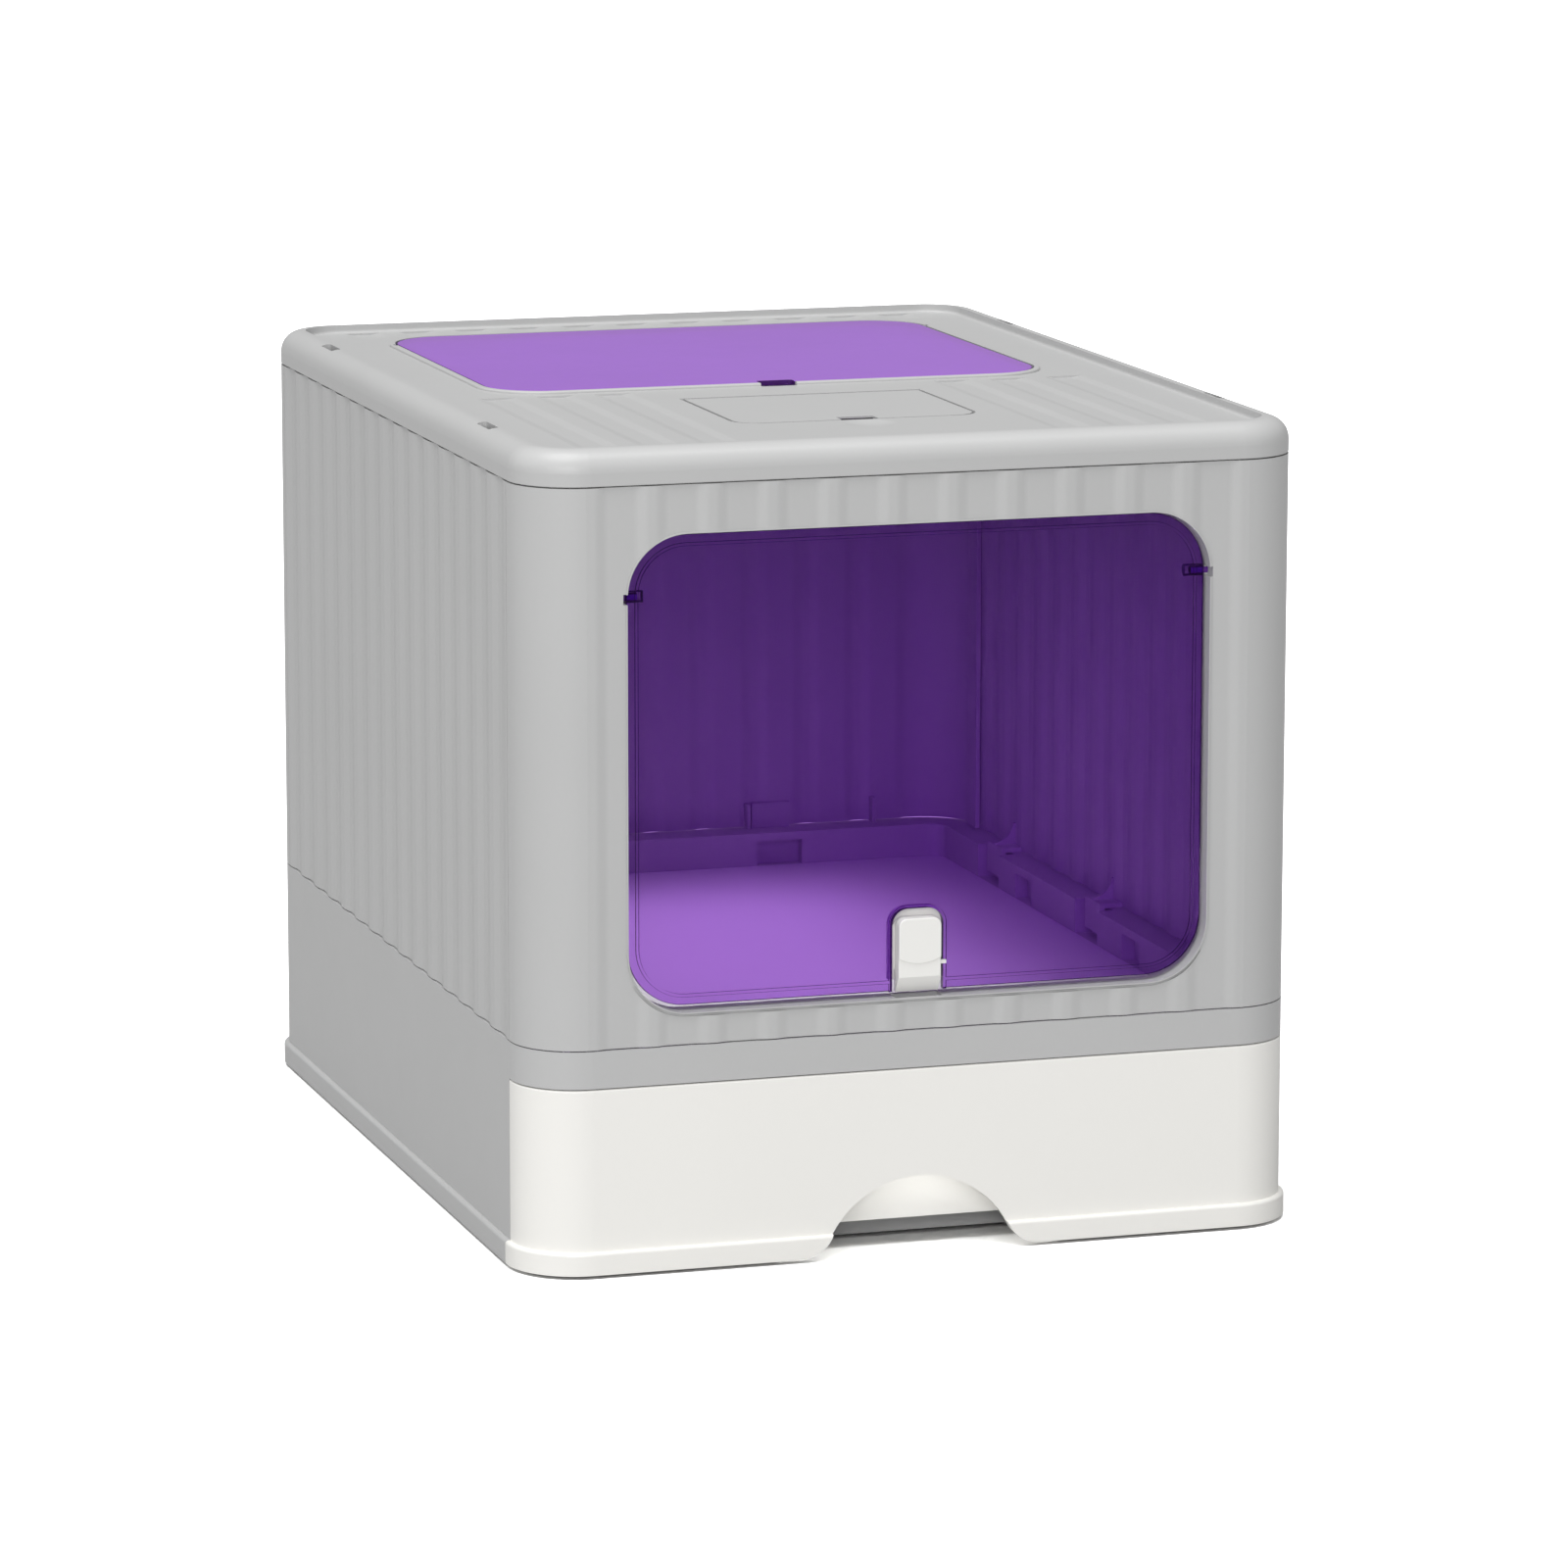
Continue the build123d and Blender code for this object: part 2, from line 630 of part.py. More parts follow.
def back_panel():
    panel = end_wall(panel_bottom, panel_top) + wall_pegs() + gussets()
    return Rot(0, 0, 180) * panel


# ---- door, hatch and their pins ----
def door_outline(inset, y0, y1):
    """Plate that follows the door's edge, moved in by an inset."""
    radius = opening_radius - door_side_gap - inset
    return upright_plate(-door_x + inset, door_x - inset, door_bottom + inset, door_top - inset,
                         radius, y0, y1)


def front_door():
    bead_y = door_front - bead_height
    door = door_outline(0, door_front, door_back)
    door = fillet(door.edges().group_by(Axis.Y)[0], soft_edge)
    bead = door_outline(bead_inset, bead_y, door_front + bite)
    bead = fillet(bead.edges().group_by(Axis.Y)[0], bead_edge)
    groove = door_outline(bead_inset + bead_width, bead_y - past, door_back)
    door = door + (bead - groove)
    hub = rod_x(hub_radius, door_x - pin_hold - hub_radius, door_x, pivot_y, pivot_z)
    door = door + mirrored_x(hub)
    notch_x = latch_notch_width / 2
    notch_top = opening_sill + latch_top + latch_up + latch_notch_head
    notch = upright_plate(-notch_x, notch_x, door_bottom - through, notch_top, latch_notch_round,
                          bead_y - past, door_back + through)
    collar = upright_plate(-notch_x - bead_width, notch_x + bead_width, door_bottom - through,
                           notch_top + bead_width, latch_notch_round + bead_width, bead_y, door_front + bite)
    collar = collar & block(-2 * notch_x, 2 * notch_x, bead_y - past, door_back,
                            door_bottom, notch_top + through)
    door = door + collar - notch
    bore = rod_x(pin_radius + press_gap, door_x - pin_hold, door_x + past, pivot_y, pivot_z)
    return door - mirrored_x(bore)


def door_pivot_pins():
    half = opening_width / 2
    pin = rod_x(pin_radius, door_x - pin_hold, half + pin_reach, pivot_y, pivot_z)
    return [pin, mirror(pin, Plane.YZ)]


def latch_slider():
    face = door_front - latch_proud
    x = latch_width / 2
    top = opening_sill + latch_top
    bottom = door_bottom - latch_foot
    body = block(-x, x, face, door_back + seat_gap / 2, bottom, top)
    slope = make_face(Polyline((face - past, bottom - past), (face + tip_setback, bottom - past),
                               (face + tip_setback, bottom), (face, bottom + tip_height),
                               (face - past, bottom + tip_height), close=True))
    wedge = extrude(Plane.YZ.offset(-2 * x) * slope, 4 * x)
    body = fillet(body.edges().filter_by(Axis.Y).group_by(Axis.Z)[-1], latch_round)
    body = fillet(body.edges().group_by(Axis.Y)[0], latch_edge) - wedge
    pad_face = face - latch_pad_out
    pad_low = top - latch_pad
    smile = rod_y(latch_smile_radius, pad_face, face + past, 0, pad_low - latch_smile + latch_smile_radius)
    outline = upright_plate(-x, x, pad_low - latch_pad, top, latch_round, pad_face, face + past)
    pad = outline & smile & block(-x, x, pad_face, face + past, pad_low - latch_smile, top)
    pad = fillet(pad.edges().group_by(Axis.Y)[0], latch_edge)
    nib_y = door_front - bead_height - 2 * seat_gap
    nib_low = pad_low - latch_smile - nib_height / 2
    nib = block(x - past, x + latch_nib, nib_y - nib_thickness, nib_y, nib_low, nib_low + nib_height)
    neck_x = latch_notch_width / 2 - fit_gap
    neck = upright_plate(-neck_x, neck_x, bottom, top, neck_round, door_front + neck_setback,
                         door_back + seat_gap / 2)
    neck = neck & block(-2 * x, 2 * x, face, door_back + past, bottom + neck_low, top + past)
    return body + neck + pad + nib


def latch_back_clip():
    x = clip_width / 2
    y0 = door_back + seat_gap
    bottom = door_bottom + clip_low
    y1 = y0 + clip_thickness
    top = bottom + clip_height
    plate = upright_plate(-x, x, bottom - clip_height, top, clip_round, y0, y1)
    return plate & block(-2 * x, 2 * x, y0, y1, bottom, top)


def top_hatch():
    """Flap of the lid, lying flat."""
    front, back = hatch_front + door_side_gap, hatch_back - door_side_gap

    def outline(inset, z0, z1):
        radius = opening_radius - door_side_gap - inset
        return slab(-door_x + inset, door_x - inset, front + inset, back - inset, radius, z0, z1)

    hatch = outline(0, hatch_bottom, hatch_top)
    hatch = fillet(hatch.edges().group_by(Axis.Z)[-1], soft_edge)
    notch = slab(-finger_width / 2, finger_width / 2, hatch_front - through, hatch_front + hatch_notch,
                 slot_round, hatch_bottom - past, hatch_top + past)
    hub = rod_x(hub_radius, door_x - pin_hold - hub_radius, door_x, hatch_pivot_y, hatch_pivot_z)
    bore = rod_x(pin_radius + press_gap, door_x - pin_hold, door_x + past, hatch_pivot_y, hatch_pivot_z)
    return hatch + mirrored_x(hub) - mirrored_x(bore) - notch


def hatch_pivot_pins():
    half = opening_width / 2
    pin = rod_x(pin_radius, door_x - pin_hold, half + pin_reach, hatch_pivot_y, hatch_pivot_z)
    return [pin, mirror(pin, Plane.YZ)]


# ---- lid ----
def lid_grooves():
    """Shallow grooves that run front to back between the lid's ribs."""
    field_x = half_w - lid_border - groove_margin_x
    field_y = half_d - lid_border - groove_margin_y
    count = int(2 * field_x // rib_pitch)
    half_groove = lid_groove / 2
    top, low = half_groove + groove_flank / 2, half_groove - groove_flank / 2
    grooves = []
    for i in range(count + 1):
        x = (i - count / 2) * rib_pitch
        if abs(x) + half_groove > field_x:
            continue
        runs = [(-field_y, field_y)]
        if abs(x) - half_groove < opening_width / 2 + hatch_collar:
            runs = [(-field_y, hatch_front - groove_clear), (hatch_back + groove_clear, field_y)]
        if abs(x) - half_groove < cover_width / 2 + hatch_collar:
            runs = [(hatch_back + groove_clear, field_y)]
        for y0, y1 in runs:
            floor = field_top - groove_depth
            section = make_face(Polyline((x - top, field_top), (x - low, floor), (x + low, floor),
                                         (x + top, field_top), close=True))
            section = fillet(section.vertices().group_by(Axis.Y)[0], groove_round)
            grooves.append(extrude(Plane.XZ.offset(-y1) * section, y1 - y0))
    return grooves


def lid_shell():
    skin = body_slab(0, lid_bottom, total_height)
    skin = fillet(skin.edges().group_by(Axis.Z)[-1], lid_edge_round)
    skin = fillet(skin.edges().group_by(Axis.Z)[0], seam_edge)
    hollow = body_slab(lid_wall, lid_bottom - past, total_height - lid_wall)
    hollow = fillet(hollow.edges().group_by(Axis.Z)[-1], lid_edge_round - lid_wall)
    under = body_slab(lid_border - lid_wall, field_bottom, total_height, field_corner + lid_wall)
    recess = body_slab(lid_border, field_top, total_height + past, field_corner)
    recess = fillet(recess.edges().group_by(Axis.Z)[0], recess_round)
    lid = skin - (hollow - under) - recess
    tongue_in = rib_floor + 2 * seat_gap
    tongue = frame(tongue_in, tongue_thickness, lid_bottom - tongue_depth, field_bottom + lid_wall)
    lid = lid + tongue - lid_grooves()
    return filter_opening(lid_catches(hatch_surround(lid)))


def hatch_surround(lid):
    """Collar, opening, ledge, bearings and finger notch for the hatch."""
    half = opening_width / 2
    collar = slab(-half - hatch_collar, half + hatch_collar, hatch_front - hatch_collar,
                  hatch_back + hatch_collar, opening_radius + hatch_collar, field_bottom,
                  field_top + hatch_collar_height)
    lid = lid + fillet(collar.edges().group_by(Axis.Z)[-1], soft_edge)
    lug = block(half, half + hatch_collar + pin_reach + wall, hatch_pivot_y - lug_width / 2,
                hatch_pivot_y + lug_width / 2, hatch_pivot_z - hub_radius - past, field_bottom + past)
    lid = lid + mirrored_x(lug)
    lid = lid - slab(-half, half, hatch_front, hatch_back, opening_radius, field_bottom - through,
                     total_height + past)
    ledge = slab(-half - past, half + past, hatch_front - past, hatch_back + past, opening_radius + past,
                 field_bottom - past, hatch_bottom - seat_gap)
    ledge_x = half - hatch_ledge
    ledge = ledge - slab(-ledge_x, ledge_x, hatch_front + hatch_ledge, hatch_back + through,
                         opening_radius - hatch_ledge, field_bottom - through, total_height)
    ledge = ledge & block(-half_w, half_w, -half_d, hatch_pivot_y - lug_width, 0, total_height)
    lid = lid + ledge
    end = half + pin_reach + fit_gap
    lid = lid - rod_x(pin_radius + pin_gap, -end, end, hatch_pivot_y, hatch_pivot_z)
    lid = lid - block(-half - notch_deep, half + notch_deep, hatch_pivot_y - notch_long / 2,
                      hatch_pivot_y + notch_long / 2, hatch_pivot_z - past, total_height)
    return lid - slab(-finger_width / 2, finger_width / 2, hatch_front - finger_depth,
                      hatch_front + hatch_ledge + past, slot_round, field_bottom - through, total_height)


def lid_catches(lid):
    """Slots through the lid's border over four hooks that hold the side panels."""
    for x_side in (-1, 1):
        for y in catch_places:
            x = x_side * (half_w - catch_inset)
            hook_x = x - x_side * (slot_short / 2 + catch_thickness / 2)
            hook = block(hook_x - catch_thickness / 2, hook_x + catch_thickness / 2,
                         y - slot_long / 2, y + slot_long / 2, lid_bottom - catch_drop, field_bottom + past)
            cut = slab(x - slot_short / 2, x + slot_short / 2, y - slot_long / 2, y + slot_long / 2,
                       slot_round, lid_bottom, total_height + past)
            lid = lid + hook - cut
    return lid


def cover_opening(inset, front, back, z0, z1):
    """Opening with rounded front corners and a straight back edge."""
    x = cover_x - inset
    radius = cover_round + cover_gap - inset
    return slab(-x, x, front, back, radius, z0, z1) + block(-x, x, back - radius, back, z0, z1)


def finger_slot(z0, z1, clearance=0.0):
    """Slot at the cover's front edge for a fingertip."""
    x = finger_width / 2 + clearance
    return block(-x, x, cover_front - cover_gap, cover_front + slot_reach, z0, z1)


def filter_opening(lid):
    """Opening, ledges and bearings for the filter cover and its basket, and the finger dent."""
    front = cover_front - cover_gap
    back = cover_back + cover_gap
    low = lip_ledge - wall
    well = slab(-cover_x - wall, cover_x + wall, front - wall, back + wall, wall, low, field_top - bite)
    lid = lid + well
    lid = lid - cover_opening(0, front, back, cover_ledge, field_top + past)
    lid = lid - cover_opening(cover_step, lip_front, back, lip_ledge, field_top)
    lid = lid - cover_opening(cover_step + basket_seat, hole_front, hole_back, low - past, field_top)
    lid = lid - block(-cover_x, cover_x, hub_room, back, low - past, field_top)
    lug = block(cover_x, cover_x + cover_pin_reach + cover_pin_radius, cover_pivot_y - cover_lug / 2,
                cover_pivot_y + cover_lug / 2, cover_pivot_z - 2 * cover_pin_radius, field_top - past)
    lid = lid + mirrored_x(lug)
    lid = lid - rod_x(cover_pin_radius + pin_gap, -cover_x - cover_pin_reach, cover_x + cover_pin_reach,
                      cover_pivot_y, cover_pivot_z)
    dent = Pos(0, front - dent_offset, field_top + dent_radius - dent_depth) * Sphere(dent_radius)
    return lid - finger_slot(low - past, field_top + past) - dent


def filter_cover():
    x = cover_width / 2
    z0 = field_top - cover_thickness
    cover = slab(-x, x, cover_front, cover_back, cover_round, z0, field_top)
    cover = cover + block(-x, x, cover_back - cover_round - past, cover_back, z0, field_top)
    back_edge = cover.edges().filter_by(Axis.X).group_by(Axis.Y)[-1].sort_by(Axis.Z)[-1]
    cover = fillet(back_edge, cover_back_round)
    hub = rod_x(cover_hub, x - cover_pin_hold - wall, x, cover_pivot_y, cover_pivot_z)
    bore = rod_x(cover_pin_radius + press_gap, x - cover_pin_hold, x + past, cover_pivot_y, cover_pivot_z)
    grip = finger_width / 2 + slot_undercut / 2
    undercut = block(-grip, grip, cover_front + slot_reach - past, cover_front + slot_reach + slot_undercut,
                     z0 - past, field_top - slot_lip)
    return cover + mirrored_x(hub) - mirrored_x(bore) - finger_slot(z0 - past, field_top + past) - undercut


def filter_cover_pins():
    x = cover_width / 2
    pin = rod_x(cover_pin_radius, x - cover_pin_hold, x + cover_gap + cover_pin_reach - fit_gap,
                cover_pivot_y, cover_pivot_z)
    return [pin, mirror(pin, Plane.YZ)]


def basket_slab(inset, z0, z1):
    """Slab that follows the basket's wall, moved in by an inset."""
    side = cover_step + basket_seat + fit_gap + inset
    return cover_opening(side, hole_front + fit_gap + inset, hole_back - fit_gap - inset, z0, z1)


def filter_basket():
    top = lip_ledge + seat_gap + basket_lip
    floor_z = top - basket_depth
    lip = cover_opening(cover_step + fit_gap, lip_front + fit_gap, hub_room - fit_gap, top - basket_lip, top)
    basket = lip + basket_slab(0, floor_z, top) - basket_slab(basket_wall, floor_z + basket_wall, top + past)
    holes = []
    span_x = 2 * (cover_x - cover_step - basket_seat - 2 * basket_wall)
    span_y = hole_back - hole_front - 4 * basket_wall
    columns = int(span_x // basket_pitch)
    rows = int(span_y // basket_pitch)
    for i in range(columns):
        for j in range(rows):
            hx = (i - (columns - 1) / 2) * basket_pitch
            hy = (hole_front + hole_back) / 2 + (j - (rows - 1) / 2) * basket_pitch
            holes.append(rod_z(basket_hole / 2, floor_z - past, floor_z + 2 * basket_wall, hx, hy))
    return basket - holes - finger_slot(floor_z + 3 * basket_wall, top + past, fit_gap)


def charcoal_pad():
    low = lip_ledge + 2 * seat_gap + basket_lip - basket_depth + basket_wall
    return basket_slab(basket_wall + pad_gap, low, low + pad_thickness)


parts = {
    "base_housing": base_housing(),
    "anti_slip_feet": foot_pads(),
    "litter_deck": litter_deck(),
    "drawer_tray": drawer_tray(),
    "drawer_front": drawer_front(),
    "drawer_front_screws": drawer_front_screws(),
    "front_panel": front_panel(),
    "back_panel": back_panel(),
    "right_panel": side_panel(),
    "left_panel": Rot(0, 0, 180) * side_panel(),
    "front_door": front_door(),
    "door_pivot_pins": door_pivot_pins(),
    "latch_slider": latch_slider(),
    "latch_back_clip": latch_back_clip(),
    "lid_shell": lid_shell(),
    "top_hatch": top_hatch(),
    "hatch_pivot_pins": hatch_pivot_pins(),
    "filter_cover": filter_cover(),
    "filter_cover_pins": filter_cover_pins(),
    "filter_basket": filter_basket(),
    "charcoal_pad": charcoal_pad(),
}

os.makedirs("parts", exist_ok=True)
for name, shape in parts.items():
    if isinstance(shape, list):
        shape = Compound(children=shape)
    export_step(shape, f"parts/{name}.step")
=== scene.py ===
import math

import bmesh
import bpy
from mathutils import Euler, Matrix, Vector, noise


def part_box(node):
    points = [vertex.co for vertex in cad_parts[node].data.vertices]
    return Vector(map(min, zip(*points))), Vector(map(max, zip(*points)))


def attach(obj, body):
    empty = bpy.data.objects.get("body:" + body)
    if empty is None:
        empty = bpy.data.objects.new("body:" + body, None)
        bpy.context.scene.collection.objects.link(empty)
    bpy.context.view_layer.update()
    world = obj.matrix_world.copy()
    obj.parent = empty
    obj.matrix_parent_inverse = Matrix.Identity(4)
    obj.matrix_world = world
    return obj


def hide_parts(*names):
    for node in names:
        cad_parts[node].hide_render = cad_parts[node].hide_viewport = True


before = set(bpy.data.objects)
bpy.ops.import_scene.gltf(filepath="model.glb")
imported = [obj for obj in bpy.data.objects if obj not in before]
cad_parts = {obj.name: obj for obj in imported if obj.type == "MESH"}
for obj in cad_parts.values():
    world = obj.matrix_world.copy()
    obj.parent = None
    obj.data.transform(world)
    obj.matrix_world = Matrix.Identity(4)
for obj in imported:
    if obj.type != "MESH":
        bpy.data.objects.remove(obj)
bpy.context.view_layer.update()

# Drawer litter box: grey moulded shell, white drawer, see-through purple door and hatch.

# ---- camera, in metres and degrees ----
CAMERA_PLACE = (-1.0740, -3.4671, 0.8666)
CAMERA_AZIMUTH = -17.38
CAMERA_DOWN = 10.62
CAMERA_ROLL = -0.06
CAMERA_LENS = 164.14
CAMERA_SENSOR = 36.0

# ---- colours, linear ----
GREY_SHELL = (0.510, 0.512, 0.511)
WHITE_DRAWER = (0.885, 0.875, 0.84)
WHITE_LATCH = (0.89, 0.885, 0.855)
WHITE_DECK = (0.80, 0.80, 0.79)
PURPLE_TINT = (0.765, 0.525, 0.965)
PURPLE_BODY = (0.13, 0.03, 0.30)
# painted shade: the sheet edges of the door and hatch get near-black purples that stand for the shade on
# them
PURPLE_EDGE_PAINTED_SHADE = (0.030, 0.006, 0.060)
# painted light: the hatch has the door's purple plastic, given a lighter body colour to stand for the top
# light it catches
HATCH_TINT = (0.62, 0.42, 0.78)
HATCH_BODY_PAINTED_LIT = (0.50, 0.20, 0.84)
HATCH_EDGE_PAINTED_SHADE = (0.060, 0.015, 0.12)
RUBBER = (0.030, 0.030, 0.032)
ZINC = (0.62, 0.62, 0.63)
CHARCOAL = (0.018, 0.018, 0.020)


# ---- shader helpers ----
COORD_NORMAL, COORD_OBJECT = 1, 3                       # outputs of the Texture Coordinate node
MIX_FACTOR, MIX_LOW, MIX_HIGH, MIX_COLOUR = 0, 6, 7, 2  # colour sockets of the Mix node
RAY_FROM_CAMERA = 0                                     # output of the Light Path node
EDGE_TILT = 0.6             # part of a normal along an axis below which a face counts as an edge
EDGE_SHARPNESS = 4.0


class Wire:
    """An output of a node; sums and products of wires and numbers add Math nodes."""

    def __init__(self, finish, socket):
        self.finish = finish
        self.socket = socket

    def math(self, operation, first, second):
        return self.finish.node("ShaderNodeMath", {"operation": operation}, {0: first, 1: second})

    def __add__(self, other):
        return self.math("ADD", self, other)

    def __radd__(self, other):
        return self.math("ADD", other, self)

    def __sub__(self, other):
        return self.math("SUBTRACT", self, other)

    def __rsub__(self, other):
        return self.math("SUBTRACT", other, self)

    def __mul__(self, other):
        return self.math("MULTIPLY", self, other)

    def size(self):
        return self.finish.node("ShaderNodeMath", {"operation": "ABSOLUTE"}, {0: self})

    def at_most(self, other):
        return self.math("MINIMUM", self, other)

    def at_least(self, other):
        return self.math("MAXIMUM", self, other)


class Finish:
    """A node material under construction."""

    def __init__(self, name):
        self.material = bpy.data.materials.new(name)
        self.material.use_nodes = True
        self.tree = self.material.node_tree
        self.tree.nodes.clear()

    def node(self, kind, settings=None, inputs=None, output=0):
        made = self.tree.nodes.new(kind)
        for key, value in (settings or {}).items():
            setattr(made, key, value)
        for key, value in (inputs or {}).items():
            if isinstance(value, Wire):
                self.tree.links.new(value.socket, made.inputs[key])
            else:
                made.inputs[key].default_value = value
        return Wire(self, made.outputs[output])

    def place(self):
        return self.node("ShaderNodeTexCoord", output=COORD_OBJECT)

    def stretched(self, scale):
        return self.node("ShaderNodeMapping", {}, {"Vector": self.place(), "Scale": scale})

    def facing(self, axis):
        """1 on the broad faces of a sheet whose normal is that axis of the piece, 0 on its edges."""
        normal = self.node("ShaderNodeTexCoord", output=COORD_NORMAL)
        part = self.node("ShaderNodeSeparateXYZ", {}, {0: normal}, output=axis).size()
        return ((part - EDGE_TILT) * EDGE_SHARPNESS).at_least(0.0).at_most(1.0)

    def noise(self, scale, detail=2.0, roughness=0.5, where=None):
        inputs = {"Vector": where or self.place(), "Scale": scale, "Detail": detail, "Roughness": roughness}
        return self.node("ShaderNodeTexNoise", {}, inputs)

    def blend(self, factor, low, high):
        """Colour between two colours."""
        inputs = {MIX_FACTOR: factor, MIX_LOW: colour(low), MIX_HIGH: colour(high)}
        return self.node("ShaderNodeMix", {"data_type": "RGBA"}, inputs, output=MIX_COLOUR)

    def bump(self, height, distance, strength=1.0):
        inputs = {"Height": height, "Distance": distance, "Strength": strength}
        return self.node("ShaderNodeBump", {}, inputs)

    def principled(self, **inputs):
        named = {key.replace("_", " "): value for key, value in inputs.items()}
        return self.node("ShaderNodeBsdfPrincipled", {}, named)

    def surface(self, shader):
        end = self.tree.nodes.new("ShaderNodeOutputMaterial")
        self.tree.links.new(shader.socket, end.inputs["Surface"])
        return self.material


def colour(value):
    return value if isinstance(value, Wire) else (*value, 1.0)


def shade(base, factor):
    return tuple(min(1.0, channel * factor) for channel in base)


# ---- finishes ----
PLASTIC_IOR = 1.46
SHEET_SHEEN_IOR = 1.35
SHEEN_SHARE = 0.6           # how much of a sheet's grazing sheen hides what is behind it
EDGE_SHARE = 0.8            # how much a sheet's edge hides what is behind it and shows its painted shade colour instead


def moulded_plastic(name, base, rough, grain, mottle=0.02):
    """Moulded polypropylene: faint flow marks, fine grain and a soft sheen."""
    finish = Finish(name)
    flow = finish.noise(scale=9.0, detail=3.0, roughness=0.55)
    speck = finish.noise(scale=420.0)
    tone = flow * 0.75 + speck * 0.25
    body = finish.blend(tone, shade(base, 1.0 - 2 * mottle), shade(base, 1.0 + 2 * mottle))
    scuff = finish.noise(scale=60.0, detail=4.0, roughness=0.6)
    roughness = rough - 0.03 + scuff * 0.06
    fine = finish.noise(scale=1500.0, roughness=0.6)
    normal = finish.bump(fine + flow * 0.4, distance=grain, strength=0.5)
    return finish.surface(finish.principled(
        Base_Color=body, Roughness=roughness, Normal=normal, IOR=PLASTIC_IOR, Specular_IOR_Level=0.45))


def purple_sheet(name, tint, body, edge, clear, rough, axis):
    """Tinted see-through sheet: light passes with a tint, the face keeps a gloss, and the edges are painted
    dark as painted shade.
    """
    finish = Finish(name)
    face_on = finish.facing(axis)
    flow = finish.noise(scale=7.0)
    ripple = finish.noise(scale=26.0, roughness=0.4)
    face = finish.bump(ripple, distance=0.0003, strength=0.25)
    smudge = finish.noise(scale=40.0, detail=4.0, roughness=0.6)
    broad = finish.blend(flow, shade(body, 0.94), shade(body, 1.06))
    # painted shade: edge faces take the dark edge colour in place of their own shading
    gloss = finish.principled(
        Base_Color=finish.blend(face_on, edge, broad), Roughness=rough - 0.02 + smudge * 0.04,
        Normal=face, IOR=PLASTIC_IOR, Specular_IOR_Level=0.4)
    through = finish.node("ShaderNodeBsdfTransparent", {}, {"Color": colour(tint)})
    fresnel = finish.node("ShaderNodeFresnel", {}, {"IOR": SHEET_SHEEN_IOR})
    sheen = fresnel * clear * SHEEN_SHARE
    # painted shade: edges turn opaque so the dark edge colour hides what is behind them
    painted_shade_rim = (1.0 - face_on) * clear * EDGE_SHARE
    factor = ((1.0 - clear) + sheen + painted_shade_rim).at_most(1.0)
    return finish.surface(finish.node("ShaderNodeMixShader", {}, {0: factor, 1: through, 2: gloss}))


def rubber():
    finish = Finish("rubber_pad_dark")
    dust = finish.noise(scale=180.0, detail=4.0, roughness=0.6)
    pores = finish.noise(scale=900.0, detail=3.0, roughness=0.6)
    return finish.surface(finish.principled(
        Base_Color=finish.blend(dust, RUBBER, shade(RUBBER, 1.8)), Roughness=0.75 + dust * 0.15,
        Normal=finish.bump(pores, distance=0.0001, strength=0.6)))


def zinc_plate():
    finish = Finish("screw_zinc")
    grain = finish.noise(scale=700.0, detail=3.0, roughness=0.6)
    return finish.surface(finish.principled(
        Base_Color=finish.blend(grain, shade(ZINC, 0.8), ZINC), Metallic=1.0, Roughness=0.28 + grain * 0.2,
        Normal=finish.bump(grain, distance=0.00005, strength=0.4)))


def charcoal_mat():
    finish = Finish("charcoal_fibre_mat")
    lay = finish.stretched((900.0, 300.0, 600.0))
    fibres = finish.noise(scale=1.0, detail=5.0, roughness=0.7, where=lay)
    clumps = finish.noise(scale=220.0, detail=4.0, roughness=0.65)
    tone = fibres * 0.6 + clumps * 0.4
    return finish.surface(finish.principled(
        Base_Color=finish.blend(tone, shade(CHARCOAL, 0.5), shade(CHARCOAL, 3.0)),
        Roughness=0.85 + clumps * 0.1,
        Normal=finish.bump(fibres + clumps, distance=0.0006, strength=0.9)))


grey_shell = moulded_plastic("grey_shell_plastic", GREY_SHELL, rough=0.36, grain=0.00004)
white_drawer = moulded_plastic("white_drawer_plastic", WHITE_DRAWER, rough=0.34, grain=0.00003, mottle=0.01)
white_latch = moulded_plastic("white_latch_plastic", WHITE_LATCH, rough=0.30, grain=0.00003, mottle=0.01)
white_deck = moulded_plastic("white_deck_plastic", WHITE_DECK, rough=0.45, grain=0.00004, mottle=0.01)
door_sheet = purple_sheet("purple_door_sheet", PURPLE_TINT, PURPLE_BODY, PURPLE_EDGE_PAINTED_SHADE,
                          clear=0.94, rough=0.08, axis=1)
# painted light: the hatch's lighter body and lower clearness stand for the top light falling on it
hatch_sheet = purple_sheet("purple_hatch_sheet", HATCH_TINT, HATCH_BODY_PAINTED_LIT, HATCH_EDGE_PAINTED_SHADE,
                           clear=0.40, rough=0.25, axis=2)
pin_purple = moulded_plastic("purple_pin_plastic", PURPLE_BODY, rough=0.25, grain=0.00002)
rubber_pad = rubber()
screw_zinc = zinc_plate()
charcoal_fibre = charcoal_mat()

finish_of = {
    "base_housing": grey_shell,
    "front_panel": grey_shell,
    "back_panel": grey_shell,
    "left_panel": grey_shell,
    "right_panel": grey_shell,
    "lid_shell": grey_shell,
    "filter_cover": grey_shell,
    "filter_cover_pins": grey_shell,
    "filter_basket": grey_shell,
    "anti_slip_feet": rubber_pad,
    "litter_deck": white_deck,
    "drawer_tray": white_drawer,
    "drawer_front": white_drawer,
    "drawer_front_screws": screw_zinc,
    "front_door": door_sheet,
    "door_pivot_pins": pin_purple,
    "latch_slider": white_latch,
    "latch_back_clip": white_latch,
    "top_hatch": hatch_sheet,
    "hatch_pivot_pins": pin_purple,
    "charcoal_pad": charcoal_fibre,
}

for name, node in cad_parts.items():
    node.data.materials.clear()
    node.data.materials.append(finish_of[name])


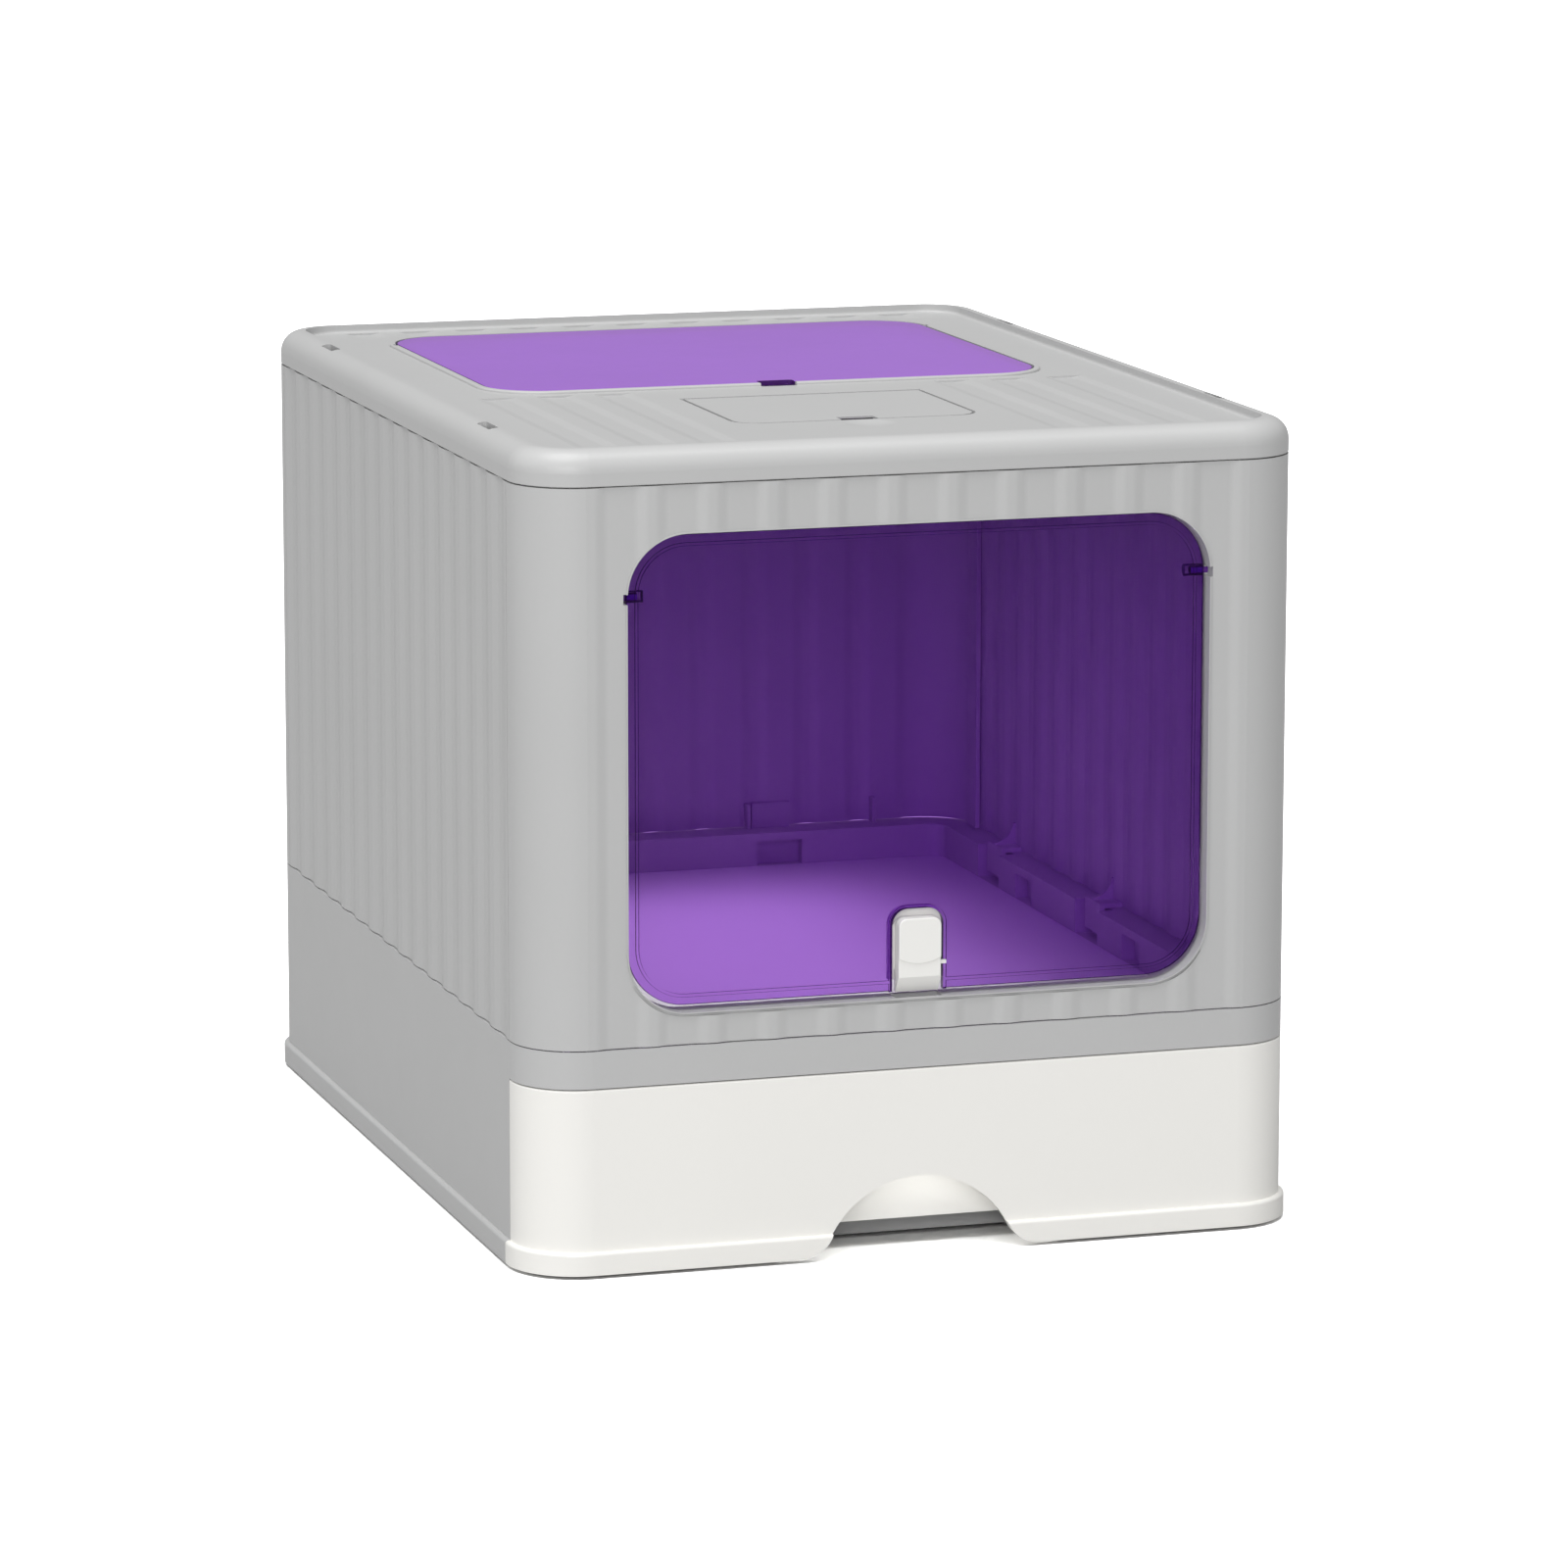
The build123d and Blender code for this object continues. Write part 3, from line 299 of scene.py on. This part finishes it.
# ---- charcoal filter mat ----
MAT_CORNER = 0.009          # plan radius, metres
MAT_SOFT = 0.007            # width of the crown's slope
MAT_THIN_EDGE = 0.45        # thickness at the edge, as a share of the full thickness
MAT_LUMPS = 0.0004
MAT_LUMP_SCALE = 160.0
MAT_LUMP_DRIFT = 0.01       # how differently the lumps lie on top and below
MAT_BULGE = 0.012           # how far the edge pulls in between its corners
MAT_MARGIN = 0.985
MAT_SETTLE = 0.9
MAT_CUTS = 23


def rounded_corner(x, y, half_x, half_y):
    """The point of a rectangle, pulled in where it lies in a corner."""
    dx = abs(x) - (half_x - MAT_CORNER)
    dy = abs(y) - (half_y - MAT_CORNER)
    if dx <= 0.0 or dy <= 0.0:
        return x, y
    pull = max(dx, dy) / math.hypot(dx, dy)
    return (math.copysign(half_x - MAT_CORNER + dx * pull, x),
            math.copysign(half_y - MAT_CORNER + dy * pull, y))


def charcoal_filter_mat():
    """Crowned mat of fibres, thin and soft at its cut edges."""
    low, high = (Vector(corner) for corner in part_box("charcoal_pad"))
    middle, half = (low + high) / 2, (high - low) / 2
    form = bmesh.new()
    bmesh.ops.create_cube(form, size=2.0)
    bmesh.ops.subdivide_edges(form, edges=form.edges[:], cuts=MAT_CUTS, use_grid_fill=True)
    for vertex in form.verts:
        x, y, level = vertex.co.x * half.x, vertex.co.y * half.y, vertex.co.z
        inwards = min(half.x - abs(x), half.y - abs(y))
        rise = 1.0 - (1.0 - min(1.0, inwards / MAT_SOFT)) ** 2
        x, y = rounded_corner(x, y, half.x, half.y)
        bulge = 1.0 - MAT_BULGE * (1.0 - level * level)
        spot = Vector((x, y, level * MAT_LUMP_DRIFT)) * MAT_LUMP_SCALE
        lump = MAT_LUMPS * (1.0 + noise.noise(spot)) * rise
        thick = half.z * (MAT_THIN_EDGE + (1.0 - MAT_THIN_EDGE) * rise)
        top = thick * level - (lump if level > 0 else 0.0)
        base = half.z - thick if level < 0 else 0.0
        vertex.co = (x / bulge * MAT_MARGIN, y / bulge * MAT_MARGIN, top - base * MAT_SETTLE * abs(level))
    mesh = bpy.data.meshes.new("charcoal_filter_mat")
    form.to_mesh(mesh)
    form.free()
    for face in mesh.polygons:
        face.use_smooth = True
    mat = bpy.data.objects.new("charcoal_filter_mat", mesh)
    mat.location = middle
    bpy.context.scene.collection.objects.link(mat)
    mesh.materials.append(charcoal_fibre)
    smooth = mat.modifiers.new("soft", "SUBSURF")
    smooth.levels = smooth.render_levels = 1
    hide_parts("charcoal_pad")
    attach(mat, "lid")


charcoal_filter_mat()


# ---- floor, lights and camera ----
FLOOR_SIZE = 80.0
FLOOR_SEEN = (2.0, 2.0, 2.0, 1.0)       # the paper as the camera sees it
FLOOR_LIT = (0.56, 0.56, 0.56, 1.0)     # the paper as it throws light back
WORLD_LEVEL = 0.30
CAMERA_REACH = 200.0


def stage_floor():
    bpy.ops.mesh.primitive_plane_add(size=FLOOR_SIZE, location=(0, 0, 0))
    floor = bpy.context.active_object
    floor.name = "stage_floor"
    finish = Finish("stage_paper")
    seen = finish.node("ShaderNodeBsdfDiffuse", {}, {"Color": FLOOR_SEEN})
    lit = finish.node("ShaderNodeBsdfDiffuse", {}, {"Color": FLOOR_LIT})
    camera_ray = finish.node("ShaderNodeLightPath", output=RAY_FROM_CAMERA)
    floor.data.materials.append(finish.surface(
        finish.node("ShaderNodeMixShader", {}, {0: camera_ray, 1: lit, 2: seen})))
    return floor


def shades_from(lamps, floor):
    """The lamps light the object and leave out the paper, so the gap under the housing stays dark."""
    lit = bpy.data.collections.new("lit_by_fills")
    lit.objects.link(floor)
    lit.collection_objects[0].light_linking.link_state = "EXCLUDE"
    for lamp in lamps:
        lamp.light_linking.receiver_collection = lit


def studio_world(level):
    world = bpy.data.worlds.new("studio_white")
    world.use_nodes = True
    background = world.node_tree.nodes["Background"]
    background.inputs["Color"].default_value = (1.0, 1.0, 1.0, 1.0)
    background.inputs["Strength"].default_value = level
    bpy.context.scene.world = world


def hang(light, place, target):
    """Lamp that holds a light at a place and looks at a point."""
    lamp = bpy.data.objects.new(light.name, light)
    lamp.location = place
    lamp.rotation_euler = (Vector(target) - Vector(place)).to_track_quat("-Z", "Y").to_euler()
    bpy.context.scene.collection.objects.link(lamp)
    return lamp


def softbox(name, place, target, size, power, spread=180.0):
    """Rectangular area light that looks at a point."""
    light = bpy.data.lights.new(name, "AREA")
    light.shape = "RECTANGLE"
    light.size, light.size_y = size
    light.energy = power
    light.spread = math.radians(spread)
    return hang(light, place, target)


def wide_sun(name, place, target, strength, angle):
    """Very wide sun: the even light of a large overhead soft panel."""
    light = bpy.data.lights.new(name, "SUN")
    light.energy = strength
    light.angle = math.radians(angle)
    return hang(light, place, target)


def studio_camera():
    view = bpy.data.cameras.new("photo_view")
    view.lens = CAMERA_LENS
    view.sensor_width = CAMERA_SENSOR
    view.clip_end = CAMERA_REACH
    camera = bpy.data.objects.new("photo_view", view)
    camera.location = CAMERA_PLACE
    camera.rotation_euler = Euler((math.radians(90.0 - CAMERA_DOWN), math.radians(CAMERA_ROLL),
                                   math.radians(CAMERA_AZIMUTH)), "XYZ")
    bpy.context.scene.collection.objects.link(camera)
    bpy.context.scene.camera = camera


paper = stage_floor()
studio_world(WORLD_LEVEL)
wide_sun("key_top", place=(-0.42, -0.25, 2.9), target=(0, 0, 0.3), strength=2.5, angle=48.0)
front = softbox("front_fill", place=(-1.3, -4.3, 1.5), target=(0, -0.2, 0.2), size=(2.0, 1.8), power=57.0)
left = softbox("left_fill", place=(-2.2, -2.5, 1.2), target=(0, 0.0, 0.2), size=(1.2, 1.2), power=17.0)
softbox("strip_front_edge", place=(0.38, -0.55, 1.9), target=(0, -0.26, 0.4), size=(0.12, 0.6), power=0.8)
cabin = softbox("cabin_fill", place=(-0.02, 0.03, 0.368), target=(-0.02, 0.01, 0.0), size=(0.26, 0.34),
                power=0.23, spread=45.0)
arch = softbox("arch_fill", place=(0.0, -0.249, 0.055), target=(0.0, -0.252, 0.0), size=(0.07, 0.008),
               power=0.0095, spread=140.0)
for hidden in (cabin, arch):
    hidden.visible_camera = False
    hidden.visible_glossy = False
shades_from((front, left), paper)
studio_camera()
bpy.context.scene.view_settings.view_transform = "Standard"
